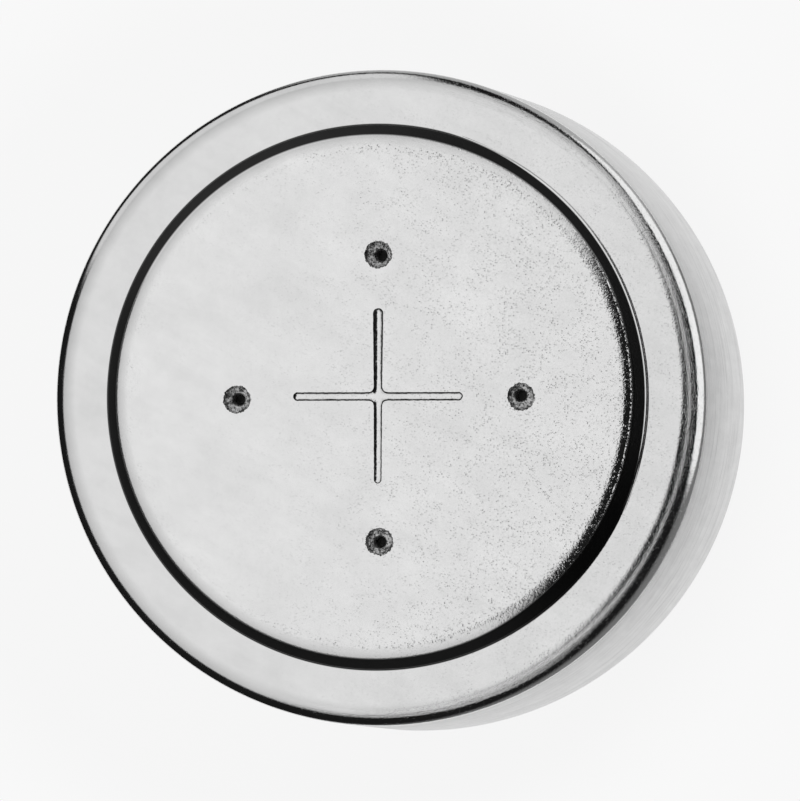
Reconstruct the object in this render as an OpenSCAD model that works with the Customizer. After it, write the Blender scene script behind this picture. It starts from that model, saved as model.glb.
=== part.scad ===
// Zinc-air button cell, size 13: it stands on its negative cap, with the positive face up.
// The origin is the centre of the cap's flat face, and +Z runs along the cell's axis.
// Every round piece is a half section in (radius, height) that is turned about the axis.

/* [Whole cell] */
// Diameter over the can
cell_d = 7.9; // [7.6:0.05:8.4]
// Height from the cap's flat face to the raised disc
cell_h = 5.4; // [4.8:0.1:7]

/* [Cathode can] */
// Thickness of the can's steel
can_t = 0.2; // [0.16:0.01:0.24]
// Smallest inside radius of a bend in the can or the cap
bend_r = 0.05; // [0.03:0.01:0.07]
// Height of the raised disc above the ring round it
step_h = 0.24; // [0.2:0.01:0.35]
// Radius of the raised disc's rounded shoulder
shoulder_r = 0.25; // [0.22:0.01:0.3]
// Slope of the raised disc's side below its shoulder, in degrees from the flat
slope_a = 45; // [40:1:50]
// Height of the upright foot that the slope ends on
riser_h = 0.05; // [0.03:0.01:0.08]
// Radius of the hollow fillet at the foot of the raised disc
foot_r = 0.02; // [0.01:0.01:0.06]
// Width of the flat ring's zone, from the raised disc to the side wall
ring_w = 0.67; // [0.6:0.01:0.9]
// Radius of the corner between the ring and the side wall
corner_r = 0.3; // [0.26:0.01:0.35]
// Outer radius of the crimp that closes the can over the gasket
crimp_r = 0.75; // [0.7:0.01:0.85]
// Radius of the can's cut edge, where the crimp ends
edge_r = 0.05; // [0.02:0.01:0.07]

/* [Air holes] */
// Number of air holes
hole_count = 4; // [2:1:6]
// Radius of the circle that the air holes lie on
hole_pitch_r = 1.725; // [1.45:0.005:2]
// Turn of the hole pattern from the arms of the plus mark, in degrees
hole_turn = 0.4; // [-45:0.1:45]
// Diameter of an air hole
hole_d = 0.155; // [0.1:0.005:0.2]
// Diameter of the dimple that the piercing punch leaves round a hole
dimple_d = 0.33; // [0.28:0.01:0.45]
// Diameter of the dimple's floor
dimple_floor_d = 0.25; // [0.2:0.01:0.27]
// Depth of the dimple
dimple_h = 0.05; // [0.02:0.01:0.1]
// How far the hole pattern lies off the axis, across the face
hole_shift_x = 0.054; // [-0.1:0.002:0.1]
// How far the hole pattern lies off the axis, up the face
hole_shift_y = -0.02; // [-0.1:0.002:0.1]

/* [Plus mark] */
// Length of the plus mark over both arms
plus_l = 2.06; // [1.2:0.02:2.2]
// Width of the groove at the surface
plus_w = 0.107; // [0.08:0.001:0.16]
// Width of the groove's floor
plus_floor_w = 0.05; // [0.03:0.001:0.07]
// Depth of the groove
plus_h = 0.035; // [0.025:0.005:0.08]
// Radius of the fillets where the arms cross
plus_fillet_r = 0.035; // [0.03:0.005:0.08]
// How far the plus mark lies off the axis, across the face
plus_shift_x = 0.044; // [-0.1:0.002:0.1]

/* [Anode cap] */
// Thickness of the cap's metal
cap_t = 0.2; // [0.15:0.01:0.22]
// Radius of the neck's outer edge
neck_edge_r = 0.2; // [0.15:0.01:0.3]
// How far the neck stands out of the crimp
neck_out = 0.65; // [0.5:0.01:0.8]

/* [Gasket] */
// Thickness of the gasket's wall between the can and the cap
gasket_t = 0.25; // [0.2:0.01:0.28]
// Thickness of the gasket's foot, which holds the air cathode down
foot_t = 0.22; // [0.15:0.01:0.3]
// How far the foot reaches inward past the cap's rim
foot_in = 0.1; // [0.05:0.01:0.3]
// Radial clearance between the gasket's lip and the cap's neck
lip_gap = 0.02; // [0.01:0.005:0.04]
// Width of the gasket's lip, which shows as a ring between the can's cut edge and the cap's neck
lip_w = 0.23; // [0.15:0.01:0.35]
// How far the gasket's lip stands out past the can's cut edge
lip_rise = 0.08; // [0.06:0.01:0.15]

/* [Air cathode and anode] */
// Thickness of the paper air diffuser
diffuser_t = 0.13; // [0.08:0.01:0.15]
// Thickness of the water-repellent barrier film
film_t = 0.08; // [0.04:0.01:0.12]
// Thickness of the catalyst layer
catalyst_t = 0.36; // [0.25:0.01:0.5]
// Thickness of the separator
separator_t = 0.08; // [0.04:0.01:0.12]
// Radial clearance of the discs in the can
disc_gap = 0.02; // [0.01:0.01:0.05]
// Thickness of the collector screen's strips
strip_t = 0.08; // [0.05:0.01:0.12]
// Width of the collector screen's strips
strip_w = 0.12; // [0.08:0.01:0.2]
// Spacing of the collector screen's strips
strip_pitch = 0.6; // [0.45:0.05:1]
// Empty height left in the cap for the zinc to swell into
swell_h = 0.35; // [0.1:0.05:0.6]

/* [Hidden] */
$fn = 128;
// How far a cutting shape runs past what it cuts
over = 0.5;
// How far a stamping's sloped walls are carried past the surface
lift = 0.005;

// The can
can_r = cell_d / 2;
can_in_r = can_r - can_t;
can_in_corner_r = max(corner_r - can_t, bend_r);
disc_r = can_r - ring_w;
ring_z = cell_h - step_h;
riser_z = ring_z + riser_h;
shelf_z = ring_z - can_t;

// The pocket behind the raised disc lies one thickness of steel inside it, along the slope too
pocket_r = disc_r - can_t;
pocket_z = cell_h - can_t;
pocket_riser_z = riser_z + can_t * (tan(slope_a) - 1 / cos(slope_a));
pocket_round_r = max(shoulder_r - can_t, bend_r);
pocket_foot_r = min(foot_r + can_t, pocket_riser_z - shelf_z);
crimp_z = neck_out + crimp_r;
mouth_r = can_r - crimp_r;

// The discs that lie against the can's shelf
stack_r = can_in_r - can_in_corner_r - disc_gap;
film_z = shelf_z - film_t;
catalyst_z = film_z - catalyst_t;
separator_z = catalyst_z - separator_t;

// The gasket and the cap
foot_z = separator_z - foot_t;
foot_in_r = can_in_r - gasket_t - cap_t - foot_in;
skirt_r = can_in_r - gasket_t;
skirt_in_r = skirt_r - cap_t;
neck_r = mouth_r - lip_w - lip_gap;
neck_in_r = neck_r - cap_t;
ledge_z = neck_out + can_t + gasket_t;
ledge_bend_r = crimp_r - can_t - gasket_t;

// The plus mark
arm_end = (plus_l - plus_w) / 2;
cross_r = plus_w / 2 + plus_fillet_r;
draft = (plus_w - plus_floor_w) / 2;

// Half section: a block between two radii and two heights
module block(r0, r1, z0, z1) {
    translate([r0, z0]) square([r1 - r0, z1 - z0]);
}

// Half section: a block from the axis to r1, with its upper outer corner rounded
module rounded_top(r1, z0, z1, round_r) {
    block(0, r1, z0, z1 - round_r);
    block(0, r1 - round_r, z0, z1);
    translate([r1 - round_r, z1 - round_r]) circle(round_r);
}

// Half section: a block from the axis to r1, with its lower outer corner rounded
module rounded_bottom(r1, z0, z1, round_r) {
    block(0, r1, z0 + round_r, z1);
    block(0, r1 - round_r, z0, z1);
    translate([r1 - round_r, z0 + round_r]) circle(round_r);
}

// Half section: a raised disc that stands on z0, with a flat top at z1 and a rounded shoulder.
// Below the shoulder its side slopes out to radius r at height slope_z, and drops upright from there.
module raised(r, z0, slope_z, z1, round_r) {
    centre_r = r - (z1 - slope_z) / tan(slope_a) - round_r * tan(slope_a / 2);
    centre_z = z1 - round_r;
    block(0, centre_r, z0, z1);
    translate([centre_r, centre_z]) circle(round_r);
    polygon([[0, z0], [r, z0], [r, slope_z],
        [centre_r + round_r * sin(slope_a), centre_z + round_r * cos(slope_a)], [centre_r, centre_z], [0, centre_z]]);
}

// Half section: the fillet outside radius r that rises from height z
module fillet_above(r, z, fillet_r) {
    difference() {
        block(r, r + fillet_r, z, z + fillet_r);
        translate([r + fillet_r, z + fillet_r]) circle(fillet_r);
    }
}

// Half section: the fillet outside radius r that hangs from height z
module fillet_below(r, z, fillet_r) {
    difference() {
        block(r, r + fillet_r, z - fillet_r, z);
        translate([r + fillet_r, z - fillet_r]) circle(fillet_r);
    }
}

// A cone round the Z axis with radius top_r at height 0 and floor_r at -depth, drawn from z0 to z1
module taper(top_r, floor_r, depth, z0, z1) {
    slope = (top_r - floor_r) / depth;
    translate([0, 0, z0]) cylinder(h = z1 - z0, r1 = top_r + slope * z0, r2 = top_r + slope * z1);
}

// A flat disc of the stack, lying between two heights
module disc(r, z, thickness) {
    translate([0, 0, z]) cylinder(h = thickness, r = r);
}

// Filled half section of the can's outside: ring, raised disc, side wall and crimp
module can_outside() {
    rounded_top(can_r, crimp_z, ring_z, corner_r);
    rounded_bottom(can_r, neck_out, crimp_z + crimp_r, crimp_r);
    raised(disc_r, crimp_z, riser_z, cell_h, shoulder_r);
    fillet_above(disc_r, ring_z, foot_r);
}

// Filled half section of the can's inside: shelf, pocket behind the raised disc, and the crimped mouth
module can_inside() {
    rounded_top(can_in_r, crimp_z, shelf_z, can_in_corner_r);
    rounded_bottom(can_in_r, neck_out + can_t, crimp_z + crimp_r, crimp_r - can_t);
    raised(pocket_r, crimp_z, pocket_riser_z, pocket_z, pocket_round_r);
    fillet_above(pocket_r, shelf_z, pocket_foot_r);
    block(0, mouth_r, neck_out - over, crimp_z);
    fillet_above(mouth_r, neck_out, edge_r);
}

// Filled half section of the cap's outside: skirt, ledge under the crimp, and neck
module cap_outside() {
    rounded_bottom(skirt_r, ledge_z, foot_z, ledge_bend_r);
    rounded_bottom(neck_r, 0, foot_z, neck_edge_r);
    fillet_below(neck_r, ledge_z, bend_r);
}

// Filled half section of the cap's inside
module cap_inside() {
    rounded_bottom(skirt_in_r, ledge_z + cap_t, foot_z, max(ledge_bend_r - cap_t, bend_r));
    rounded_bottom(neck_in_r, cap_t, foot_z, max(neck_edge_r - cap_t, bend_r));
    fillet_below(neck_in_r, ledge_z + cap_t, bend_r + cap_t);
}

// One pierced hole, with the shallow dimple that the punch leaves at its mouth
module air_hole() {
    translate([0, 0, -can_t - over]) cylinder(h = can_t + 2 * over, d = hole_d);
    taper(dimple_d / 2, dimple_floor_d / 2, dimple_h, -dimple_h, lift);
}

// One arm of the plus mark, along +X: sloped walls and a round end
module plus_arm() {
    top_half = plus_w / 2 + draft / plus_h * lift;
    rotate([90, 0, 90]) linear_extrude(arm_end)
        polygon([[-plus_floor_w / 2, -plus_h], [plus_floor_w / 2, -plus_h], [top_half, lift], [-top_half, lift]]);
    translate([arm_end, 0, 0]) taper(plus_w / 2, plus_floor_w / 2, plus_h, -plus_h, lift);
}

// The groove of the plus mark, sunk from height 0, with fillets where its arms cross
module plus_groove() {
    for (turn = [0:90:270]) rotate([0, 0, turn]) plus_arm();
    difference() {
        translate([-cross_r, -cross_r, -plus_h]) cube([2 * cross_r, 2 * cross_r, plus_h + lift]);
        for (x = [-cross_r, cross_r], y = [-cross_r, cross_r])
            translate([x, y, 0])
                taper(plus_fillet_r, plus_fillet_r + draft, plus_h, -plus_h - lift, 2 * lift);
    }
}

// The collector's crossed strips, as far as radius r
module strip_grid(r) {
    count = floor(r / strip_pitch);
    intersection() {
        disc(r, catalyst_z, strip_t);
        for (turn = [0, 90], k = [-count:count])
            rotate([0, 0, turn])
                translate([-r, k * strip_pitch - strip_w / 2, catalyst_z]) cube([2 * r, strip_w, strip_t]);
    }
}

module cathode_can() {
    color("silver") difference() {
        rotate_extrude() difference() {
            can_outside();
            can_inside();
        }
        translate([hole_shift_x, hole_shift_y, cell_h])
            for (k = [0:hole_count - 1])
                rotate([0, 0, hole_turn + k * 360 / hole_count]) translate([hole_pitch_r, 0, 0]) air_hole();
        translate([plus_shift_x, 0, cell_h]) plus_groove();
    }
}

module air_diffuser() {
    color("white") disc(pocket_r - disc_gap, shelf_z, diffuser_t);
}

module barrier_film() {
    color("whitesmoke") disc(stack_r, film_z, film_t);
}

module catalyst_layer() {
    color("dimgray") difference() {
        disc(stack_r, catalyst_z, catalyst_t);
        strip_grid(can_in_r);
    }
}

module current_collector() {
    color("darkgray") strip_grid(can_in_r);
}

module separator() {
    color("ivory") disc(stack_r, separator_z, separator_t);
}

module zinc_anode() {
    color("slategray") rotate_extrude() {
        intersection() {
            cap_inside();
            block(0, skirt_in_r, cap_t + swell_h, foot_z);
        }
        block(0, foot_in_r, foot_z, separator_z);
    }
}

module insulator_gasket() {
    color("aliceblue") rotate_extrude() difference() {
        union() {
            block(0, can_in_r, crimp_z, separator_z);
            rounded_bottom(can_in_r, neck_out + can_t, crimp_z + crimp_r, crimp_r - can_t);
            rounded_bottom(mouth_r, neck_out - lip_rise, crimp_z, edge_r);
        }
        cap_outside();
        block(0, foot_in_r, foot_z, cell_h);
        block(0, neck_r + lip_gap, 0, ledge_z);
    }
}

module anode_cap() {
    color("gainsboro") rotate_extrude() difference() {
        cap_outside();
        cap_inside();
    }
}

cathode_can();
air_diffuser();
barrier_film();
catalyst_layer();
current_collector();
separator();
zinc_anode();
insulator_gasket();
anode_cap();
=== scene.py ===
import math

import bpy
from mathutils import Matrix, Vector


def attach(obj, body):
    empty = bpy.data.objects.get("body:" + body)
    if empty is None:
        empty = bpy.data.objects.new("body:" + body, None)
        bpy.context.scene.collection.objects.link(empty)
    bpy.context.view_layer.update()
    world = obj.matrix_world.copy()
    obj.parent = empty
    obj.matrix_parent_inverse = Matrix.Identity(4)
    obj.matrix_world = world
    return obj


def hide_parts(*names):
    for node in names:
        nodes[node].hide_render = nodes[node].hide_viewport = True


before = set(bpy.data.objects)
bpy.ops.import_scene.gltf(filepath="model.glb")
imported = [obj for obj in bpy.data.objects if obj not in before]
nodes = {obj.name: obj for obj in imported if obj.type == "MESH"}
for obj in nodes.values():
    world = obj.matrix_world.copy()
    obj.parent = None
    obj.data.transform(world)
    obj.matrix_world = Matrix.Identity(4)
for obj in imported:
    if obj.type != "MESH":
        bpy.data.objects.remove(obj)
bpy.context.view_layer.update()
scene = bpy.context.scene
scene.view_settings.view_transform = "Standard"
mm = 0.001
print("frame loaded:", ", ".join(sorted(nodes)))


# Small helpers that keep the node trees short. A value may be a plain value or another node's socket.
def addNode(tree, kind, **settings):
    node = tree.nodes.new(kind)
    for setting, value in settings.items():
        setattr(node, setting, value)
    return node


def fill(tree, socket, value):
    if isinstance(value, bpy.types.NodeSocket):
        tree.links.new(value, socket)
    elif value is not None:
        socket.default_value = value


def useNode(tree, kind, inputs, **settings):
    node = addNode(tree, kind, **settings)
    for label, value in inputs.items():
        fill(tree, node.inputs[label], value)
    return node


def calc(tree, operation, first, second=None, third=None, clamp=False):
    node = addNode(tree, "ShaderNodeMath", operation=operation, use_clamp=clamp)
    for socket, value in zip(node.inputs, (first, second, third)):
        fill(tree, socket, value)
    return node.outputs[0]


def times(tree, first, second):
    return calc(tree, "MULTIPLY", first, second)


def sumOf(tree, first, second, clamp=False):
    return calc(tree, "ADD", first, second, clamp=clamp)


def minus(tree, first, second, clamp=False):
    return calc(tree, "SUBTRACT", first, second, clamp=clamp)


def vectorCalc(tree, operation, first, second=None):
    node = addNode(tree, "ShaderNodeVectorMath", operation=operation)
    for socket, value in zip(node.inputs, (first, second)):
        fill(tree, socket, value)
    single = operation in ("LENGTH", "DOT_PRODUCT", "DISTANCE")
    return node.outputs["Value" if single else "Vector"]


def splitVector(tree, vector):
    return useNode(tree, "ShaderNodeSeparateXYZ", {0: vector}).outputs


def joinVector(tree, x, y, z):
    return useNode(tree, "ShaderNodeCombineXYZ", {0: x, 1: y, 2: z}).outputs[0]


def fade(tree, value, low, high, start=0.0, end=1.0, kind="SMOOTHSTEP"):
    node = addNode(tree, "ShaderNodeMapRange", interpolation_type=kind)
    for socket, given in zip(node.inputs, (value, low, high, start, end)):
        fill(tree, socket, given)
    return node.outputs[0]


def noise(tree, place, scale, detail=3.0, roughness=0.5):
    return useNode(tree, "ShaderNodeTexNoise", {
        "Vector": place, "Scale": scale, "Detail": detail, "Roughness": roughness}).outputs[0]


# A new node group: its tree, its input sockets and its output sockets
def newGroup(name, kind, inputs, outputs):
    tree = bpy.data.node_groups.new(name, kind)
    for label, socketType, value in inputs:
        socket = tree.interface.new_socket(name=label, in_out="INPUT", socket_type=socketType)
        if value is not None:
            socket.default_value = value
    for label, socketType in outputs:
        tree.interface.new_socket(name=label, in_out="OUTPUT", socket_type=socketType)
    return tree, addNode(tree, "NodeGroupInput").outputs, addNode(tree, "NodeGroupOutput").inputs


number, whole, flag = "NodeSocketFloat", "NodeSocketInt", "NodeSocketBool"
vector3, shape, paint = "NodeSocketVector", "NodeSocketGeometry", "NodeSocketMaterial"
weldDistance = 2e-5  # in millimetres, as in every Geometry Nodes tree here
sharpAngle = math.radians(28)


# Geometry Nodes: a turned piece is a half section in (radius, height), filleted and swept round the axis
def pickByIndex(tree, kind, values):
    node = addNode(tree, "GeometryNodeIndexSwitch", data_type=kind)
    while len(node.index_switch_items) < len(values):
        node.index_switch_items.new()
    fill(tree, node.inputs[0], addNode(tree, "GeometryNodeInputIndex").outputs[0])
    for socket, value in zip(node.inputs[1:], values):
        fill(tree, socket, value)
    return node.outputs[0]


# Each corner is (radius, height, fillet radius, steps in the fillet), in millimetres
def halfSection(tree, corners, closed=False):
    line = useNode(tree, "GeometryNodeMeshLine", {"Count": len(corners)})
    places = [joinVector(tree, r, 0.0, z) for r, z, fillet, steps in corners]
    moved = useNode(tree, "GeometryNodeSetPosition",
                    {"Geometry": line.outputs[0], "Position": pickByIndex(tree, "VECTOR", places)})
    curve = useNode(tree, "GeometryNodeMeshToCurve", {"Mesh": moved.outputs[0]})
    cyclic = useNode(tree, "GeometryNodeSetSplineCyclic", {"Geometry": curve.outputs[0], "Cyclic": closed})
    rounded = useNode(tree, "GeometryNodeFilletCurve", {
        "Curve": cyclic.outputs[0],
        "Count": pickByIndex(tree, "INT", [steps for r, z, fillet, steps in corners]),
        "Radius": pickByIndex(tree, "FLOAT", [fillet for r, z, fillet, steps in corners]),
        "Limit Radius": True}, mode="POLY")
    return rounded.outputs[0]


def buildTurned():
    tree, given, result = newGroup(
        "turnedShape", "GeometryNodeTree",
        [("Section", shape, None), ("Steps Round", whole, 128), ("Closed", flag, False)], [("Mesh", shape)])
    size = useNode(tree, "GeometryNodeAttributeDomainSize", {"Geometry": given["Section"]},
                   component="CURVE")
    points = size.outputs["Point Count"]
    rows = sumOf(tree, points, given["Closed"])
    grid = useNode(tree, "GeometryNodeMeshGrid", {
        "Vertices X": sumOf(tree, given["Steps Round"], 1), "Vertices Y": rows})
    index = addNode(tree, "GeometryNodeInputIndex").outputs[0]
    column = calc(tree, "FLOOR", calc(tree, "DIVIDE", sumOf(tree, index, 0.5), rows))
    row = minus(tree, index, times(tree, column, rows))
    place = addNode(tree, "GeometryNodeSampleIndex", data_type="FLOAT_VECTOR", domain="POINT")
    fill(tree, place.inputs["Geometry"], given["Section"])
    fill(tree, place.inputs["Value"], addNode(tree, "GeometryNodeInputPosition").outputs[0])
    fill(tree, place.inputs["Index"], calc(tree, "MODULO", row, points))
    sampled = splitVector(tree, place.outputs[0])
    radius, height = sampled[0], sampled[2]
    angle = calc(tree, "DIVIDE", times(tree, column, -2 * math.pi), given["Steps Round"])
    swept = useNode(tree, "GeometryNodeSetPosition", {
        "Geometry": grid.outputs["Mesh"],
        "Position": joinVector(tree, times(tree, radius, calc(tree, "COSINE", angle)),
                               times(tree, radius, calc(tree, "SINE", angle)), height)})
    welded = useNode(tree, "GeometryNodeMergeByDistance", {
        "Geometry": swept.outputs[0], "Distance": weldDistance})
    fill(tree, result["Mesh"], welded.outputs[0])
    return tree


turnedShape = buildTurned()


def turn(tree, section, stepsRound, closed=False):
    return useNode(tree, "GeometryNodeGroup", {
        "Section": section, "Steps Round": stepsRound, "Closed": closed}, node_tree=turnedShape).outputs[0]


# Smooth faces with sharp edges past an angle and at cuts, brought from millimetres to metres
def finishMesh(tree, mesh, cutEdges=False):
    smooth = useNode(tree, "GeometryNodeSetShadeSmooth", {0: mesh, "Shade Smooth": True}, domain="FACE")
    angle = addNode(tree, "GeometryNodeInputMeshEdgeAngle").outputs["Unsigned Angle"]
    sharp = useNode(tree, "GeometryNodeSetShadeSmooth", {
        0: smooth.outputs[0],
        "Selection": calc(tree, "MAXIMUM", calc(tree, "GREATER_THAN", angle, sharpAngle), cutEdges),
        "Shade Smooth": False}, domain="EDGE")
    scaled = useNode(tree, "GeometryNodeTransform", {"Geometry": sharp.outputs[0], "Scale": (mm, mm, mm)})
    return useNode(tree, "GeometryNodeRealizeInstances", {0: scaled.outputs[0]}).outputs[0]


def setMaterial(tree, mesh, material):
    return useNode(tree, "GeometryNodeSetMaterial", {"Geometry": mesh, "Material": material}).outputs[0]


# Runs a tree with these inputs and keeps its result as a plain mesh
def bakePiece(name, tree, values):
    piece = bpy.data.objects.new(name, bpy.data.meshes.new(name))
    scene.collection.objects.link(piece)
    modifier = piece.modifiers.new("build", "NODES")
    modifier.node_group = tree
    for item in tree.interface.items_tree:
        if item.in_out == "INPUT" and item.name in values:
            modifier[item.identifier] = values[item.name]
    bpy.context.view_layer.update()
    evaluated = piece.evaluated_get(bpy.context.evaluated_depsgraph_get())
    mesh = bpy.data.meshes.new_from_object(evaluated)
    piece.modifiers.remove(modifier)
    piece.data = mesh
    mesh.name = name
    triangles = sum(len(face.vertices) - 2 for face in mesh.polygons)
    print("made", name, len(mesh.vertices), "points,", triangles, "triangles")
    return piece


# Shader groups that more than one finish uses
grainShape = {
    "coarseScale": 0.3, "cellScale": 1.6, "clusterScale": 0.12, "coarseShare": 0.8,
    "chanceFades": (0.55, 1.0), "cellFades": (0.15, 0.75, 1.0, 0.0), "clusterFades": (0.25, 0.6),
    "toneFades": (0.38, 0.62),
}


# Fine etched grain: a height, and a mask of small dark specks that stand alone
def buildGrain(values):
    tree, given, result = newGroup(
        "etchedGrain", "ShaderNodeTree",
        [("Position", vector3, None), ("Grain Per Metre", number, 25000.0), ("Pits", number, 0.5)],
        [("Height", number), ("Pit Mask", number), ("Tone", number)])
    place, perMetre = given["Position"], given["Grain Per Metre"]
    fine = noise(tree, place, perMetre, 2.0, 0.6)
    coarse = noise(tree, place, times(tree, perMetre, values["coarseScale"]), 2.0)
    cells = useNode(tree, "ShaderNodeTexVoronoi", {
        "Vector": place, "Scale": times(tree, perMetre, values["cellScale"])}).outputs
    cluster = noise(tree, place, times(tree, perMetre, values["clusterScale"]))
    chance = splitVector(tree, cells["Color"])[0]
    spot = times(tree, fade(tree, chance, *values["chanceFades"]),
                 fade(tree, cells["Distance"], *values["cellFades"]))
    clustered = times(tree, spot, fade(tree, cluster, *values["clusterFades"]))
    mask = times(tree, clustered, given["Pits"])
    grain = calc(tree, "MULTIPLY_ADD", coarse, values["coarseShare"], fine)
    fill(tree, result["Height"], minus(tree, grain, mask))
    fill(tree, result["Pit Mask"], mask)
    fill(tree, result["Tone"], fade(tree, fine, *values["toneFades"]))
    return tree


# Fine lines round the axis, as drawing and ironing leave them: a height and a tone
def buildTurnedLines():
    tree, given, result = newGroup(
        "drawnLines", "ShaderNodeTree",
        [("Position", vector3, None), ("Lines Per Metre", number, 24000.0), ("Length", number, 6.0)],
        [("Height", number), ("Tone", number)])
    x, y, z = splitVector(tree, given["Position"])
    radius = calc(tree, "SQRT", sumOf(tree, times(tree, x, x), times(tree, y, y)))
    safe = calc(tree, "MAXIMUM", radius, 1e-6)  # nothing is divided by zero on the axis
    across = times(tree, minus(tree, z, radius), given["Lines Per Metre"])
    along = joinVector(tree, times(tree, calc(tree, "DIVIDE", x, safe), given["Length"]),
                       times(tree, calc(tree, "DIVIDE", y, safe), given["Length"]), across)
    lines = noise(tree, along, 1.0, 4.0, 0.65)
    fill(tree, result["Height"], lines)
    fill(tree, result["Tone"], fade(tree, lines, 0.45, 0.72))
    return tree


# Soft cloudy variation from dark to light
def buildMottle():
    tree, given, result = newGroup(
        "softMottle", "ShaderNodeTree",
        [("Position", vector3, None), ("Patches Per Metre", number, 900.0)], [("Tone", number)])
    clouds = noise(tree, given["Position"], given["Patches Per Metre"], 7.0, 0.66)
    fill(tree, result["Tone"], fade(tree, clouds, 0.25, 0.75, kind="LINEAR"))
    return tree


etchedGrain = buildGrain(grainShape)
drawnLines = buildTurnedLines()
softMottle = buildMottle()


def useGroup(tree, group, inputs):
    return useNode(tree, "ShaderNodeGroup", inputs, node_tree=group).outputs


def newMaterial(name):
    material = bpy.data.materials.new(name)
    material.use_nodes = True
    tree = material.node_tree
    shader = tree.nodes["Principled BSDF"]
    place = addNode(tree, "ShaderNodeTexCoord").outputs["Object"]
    return material, tree, shader, place


def mixTone(tree, factor, dark, light):
    node = addNode(tree, "ShaderNodeMix", data_type="RGBA", blend_type="MIX")
    fill(tree, node.inputs[0], factor)
    fill(tree, node.inputs[6], (*dark, 1))
    fill(tree, node.inputs[7], (*light, 1))
    return node.outputs[2]


def multiplyTone(tree, factor, base, share):
    node = addNode(tree, "ShaderNodeMix", data_type="RGBA", blend_type="MULTIPLY")
    fill(tree, node.inputs[0], factor)
    fill(tree, node.inputs[6], base)
    fill(tree, node.inputs[7], (share, share, share, 1))
    return node.outputs[2]


def addBump(tree, height, distance, normal=None):
    return useNode(tree, "ShaderNodeBump", {
        "Height": height, "Distance": distance, "Strength": 1.0, "Normal": normal}).outputs[0]


# A level vector, pointing this far round the axis
def flatVector(angle, length=1.0):
    return (math.cos(angle) * length, math.sin(angle) * length, 0)


# Satin nickel plate of the can. Lengths in metres; lined zones run between two heights or two radii.
plateFinish = {
    "dark": (0.68, 0.68, 0.68), "light": (0.785, 0.785, 0.785), "speck": 0.915, "fineTone": 0.97,
    "ringTone": 0.95, "wallTone": 1.03, "lineTone": 0.74, "smoothest": 0.08, "roughest": 0.14,
    "wallRoughness": 0.28,
    "grainPerMetre": 34000.0, "grainDepth": 2.8e-6, "pits": 1.0, "patchesPerMetre": 1300.0,
    "grainFades": (0.00312, 0.00318, 1.0, 0.70), "grainTurns": (-0.0026, 0.0024, 0.28, 1.0),
    "shoulderFrom": 0.00290, "shoulderTo": 0.00300, "shoulderGrain": 2.4,
    "browFrom": 0.00301, "browTo": 0.00308, "browGrain": 0.28,
    # the step's side is painted near black: a painted dark reflection, which ends sooner on one side
    "stepFrom": 0.003148, "stepTo": 0.003288, "stepSoft": 0.000014, "stepPaintedShade": 0.035, "stepRoughness": 0.4,
    "stepFloor": 0.00515, "brightSideTurn": math.radians(24), "brightSideFades": (0.6, 0.9), "brightSideShadeCut": 0.000035,
    "earlierTurn": math.radians(-20), "earlierFades": (0.65, 0.95), "earlierBy": 0.000028,
    "burrWidth": 0.000018, "burrSlope": 2.0,
    "crumbsInside": 0.000024, "crumbsWidth": 0.000016, "crumbsSlope": 0.8, "crumbsFades": (0.5, 0.85),
    "crumbsTone": (0.45, 0.9),
    "rubTurn": math.radians(-28), "rubAlong": 600.0, "rubAcross": 5000.0, "rubFades": (0.3, 0.7),
    "rubShare": 0.22,
    "linesPerMetre": 9000.0, "lineDepth": 8.0e-6, "lineLength": 3.0,
    "wallPatchesPerMetre": 7000.0, "wallPatchTone": 0.84, "wallPatchSquash": (1.0, 1.0, 0.25),
    "wallBetween": (0.00476, 0.00492, 1.0, 0.0),
    # a darker band round the wall near its top
    "darkBandHeight": 0.00484, "darkBandSoft": 0.00010, "darkBandTone": 0.60,
    "streaksFrom": 0.00374, "streaksTo": 0.00384, "streakSoft": 0.00003, "streaksPerMetre": 62000.0,
    "streakDepth": 6.5e-6, "streakLength": 26.0,
    "streakTurn": math.radians(-15), "streakFades": (-0.25, 0.35),
    "rollFrom": 0.003755, "rollTo": 0.003820, "rollHeight": 1.3e-5,
}


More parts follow.
